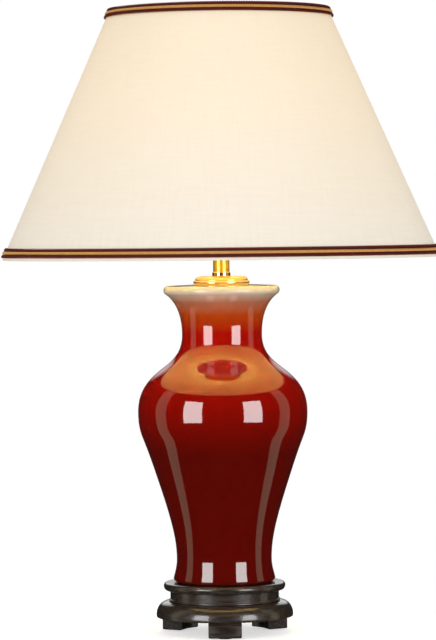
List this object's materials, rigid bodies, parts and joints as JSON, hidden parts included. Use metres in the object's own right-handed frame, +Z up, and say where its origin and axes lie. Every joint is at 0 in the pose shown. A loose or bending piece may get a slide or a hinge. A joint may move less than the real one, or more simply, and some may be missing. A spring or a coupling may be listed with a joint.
{
  "type": "table lamp",
  "caption": "Table lamp: glazed ceramic baluster vase on a turned dark wood stand with block feet, brass neck and screw lampholder, under a fabric cone shade with braid trim.",
  "frame": {"origin": "on the table, under the lamp's vertical axis", "axes": "+Z up along the lamp's axis; the front foot points to -Y, the cord bushing to +Y"},
  "size_m": [0.4586, 0.4586, 0.652],
  "materials": {
    "ebonised_wood": "dark stained, lacquered",
    "hardboard": "pressed fibre board",
    "red_glaze": "gloss glaze, red with a cream lip",
    "polished_brass": "polished",
    "zinc_steel": "zinc plated",
    "white_wire": "white powder coat",
    "cream_fabric": "plain woven",
    "lining_film": "matt white film",
    "maroon_braid": "woven braid",
    "gold_braid": "twisted cord",
    "dark_felt": "felt",
    "black_rubber": "matt",
    "black_plastic": "moulded",
    "white_plastic": "moulded",
    "brown_insulation": "extruded",
    "blue_insulation": "extruded",
    "green_insulation": "extruded",
    "porcelain": "unglazed",
    "frosted_glass": "frosted inside",
    "clear_glass": "clear",
    "black_glass": "fused",
    "nickelled_cap": "bright"
  },
  "bodies": {
    "lamp_body": {"foot_front": "ebonised_wood", "foot_back_right": "ebonised_wood", "foot_back_left": "ebonised_wood", "stand_apron": "ebonised_wood", "stand_waist": "ebonised_wood", "stand_seat": "ebonised_wood", "foot_dowels": "ebonised_wood", "base_plate": "hardboard", "vase": "red_glaze", "vase_cap": "polished_brass", "neck_collar": "polished_brass", "neck_tube": "polished_brass", "holder_cap": "polished_brass", "holder_mantle": "polished_brass", "shade_ring_lower": "polished_brass", "holder_screw_shell": "polished_brass", "holder_centre_contact": "polished_brass", "holder_terminal_screws": "polished_brass", "stand_screws": "zinc_steel", "base_plate_screws": "zinc_steel", "threaded_rod": "zinc_steel", "rod_nut": "zinc_steel", "rod_lock_washer": "zinc_steel", "rod_washer": "zinc_steel", "holder_grub_screw": "zinc_steel", "foot_pads": "dark_felt", "vase_pad": "dark_felt", "rod_bush": "black_rubber", "cord_bushing": "black_plastic", "terminal_block": "white_plastic", "wire_live": "brown_insulation", "wire_neutral": "blue_insulation", "wire_earth": "green_insulation", "holder_core": "porcelain"},
    "shade": {"shade_fitter": "white_wire", "shade_strut_back": "white_wire", "shade_strut_left": "white_wire", "shade_strut_right": "white_wire", "shade_top_wire": "white_wire", "shade_bottom_wire": "white_wire", "shade_cover": "cream_fabric", "shade_lining": "lining_film", "trim_top_ribbon": "maroon_braid", "trim_top_cord": "gold_braid", "trim_bottom_ribbon": "maroon_braid", "trim_bottom_cord": "gold_braid"},
    "shade_ring": {"shade_ring_upper": "polished_brass"},
    "bulb_tip": {"bulb_tip": "zinc_steel"},
    "bulb": {"bulb_glass": "frosted_glass", "bulb_screw_cap": "nickelled_cap", "bulb_insulator": "black_glass", "bulb_stem": "clear_glass", "bulb_filament": "zinc_steel"},
    "switch_bar": {"switch_push_bar": "black_plastic"}
  },
  "joints": [
    {"name": "shade_turn", "type": "hinge", "parent": "lamp_body", "child": "shade", "pos_m": [0, 0, 0.49125], "axis": [0, 0, 1], "continuous": true},
    {"name": "shade_ring_turn", "type": "hinge", "parent": "lamp_body", "child": "shade_ring", "pos_m": [0, 0, 0.4951], "axis": [0, 0, 1], "continuous": true},
    {"name": "bulb_rise", "type": "slide", "parent": "lamp_body", "child": "bulb_tip", "axis": [0, 0, 1], "range_m": [0, 0.0127]},
    {"name": "bulb_turn", "type": "hinge", "parent": "bulb_tip", "child": "bulb", "pos_m": [0, 0, 0.5], "axis": [0, 0, 1], "range_deg": [0, 1260]},
    {"name": "switch_push", "type": "slide", "parent": "lamp_body", "child": "switch_bar", "axis": [-1, 0, 0], "range_m": [0, 0.006]}
  ],
  "couplings": [
    {"joint": "bulb_rise", "follows": "bulb_turn", "m_per_rad": 0.00057614}
  ]
}
